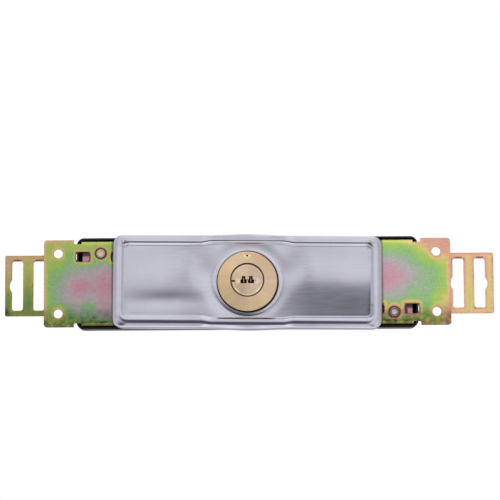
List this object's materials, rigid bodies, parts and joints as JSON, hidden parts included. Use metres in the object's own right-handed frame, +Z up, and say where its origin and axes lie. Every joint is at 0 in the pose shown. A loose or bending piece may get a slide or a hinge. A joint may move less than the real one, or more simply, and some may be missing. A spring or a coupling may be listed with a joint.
{
  "type": "garage door lock",
  "caption": "Flat centre lock for a roller garage door: a key-turned pinion drives two slotted tongues out of a long box behind a folded plate with fixing ears.",
  "frame": {"origin": "centre of the four fixing holes, on the rear face of the ears that bears on the door", "axes": "+X along the lock to the right as seen from the front, -Y out of the face towards the key, +Z up"},
  "size_m": [0.3064, 0.0279, 0.0596],
  "materials": {
    "passivated_zinc": "iridescent yellow passivated zinc plating",
    "black_enamel": "gloss black",
    "polished_steel": "polished sheet",
    "brass": "fine turned",
    "bright_steel": "plain"
  },
  "bodies": {
    "case": {"front_plate": "passivated_zinc", "rear_cover": "black_enamel", "face_cover": "polished_steel", "cylinder_body": "brass", "cylinder_spacer": "bright_steel", "driver_pins": "brass", "pin_springs": "bright_steel", "pin_cover_strip": "brass", "cylinder_nut": "brass", "nut_washer": "bright_steel", "thrust_washer": "bright_steel", "rear_bush": "brass", "left_guide_block": "passivated_zinc", "right_guide_block": "passivated_zinc", "left_rivet": "passivated_zinc", "right_rivet": "passivated_zinc"},
    "plug": {"cylinder_plug": "brass", "key_pins": "brass", "anti_drill_pin": "bright_steel", "pinion": "bright_steel", "plug_clip": "bright_steel"},
    "left_tongue": {"left_tongue": "passivated_zinc"},
    "right_tongue": {"right_tongue": "passivated_zinc"}
  },
  "joints": [
    {"name": "plug_turn", "type": "hinge", "parent": "case", "child": "plug", "pos_m": [0, 0, 0.0008], "axis": [0, 1, 0], "range_deg": [0, 180]},
    {"name": "left_tongue_slide", "type": "slide", "parent": "case", "child": "left_tongue", "axis": [-1, 0, 0], "range_m": [0, 0.02356]},
    {"name": "right_tongue_slide", "type": "slide", "parent": "case", "child": "right_tongue", "axis": [1, 0, 0], "range_m": [0, 0.02356]}
  ],
  "couplings": [
    {"joint": "plug_turn", "follows": "left_tongue_slide", "rad_per_m": 133.33},
    {"joint": "right_tongue_slide", "follows": "left_tongue_slide", "ratio": 1}
  ]
}
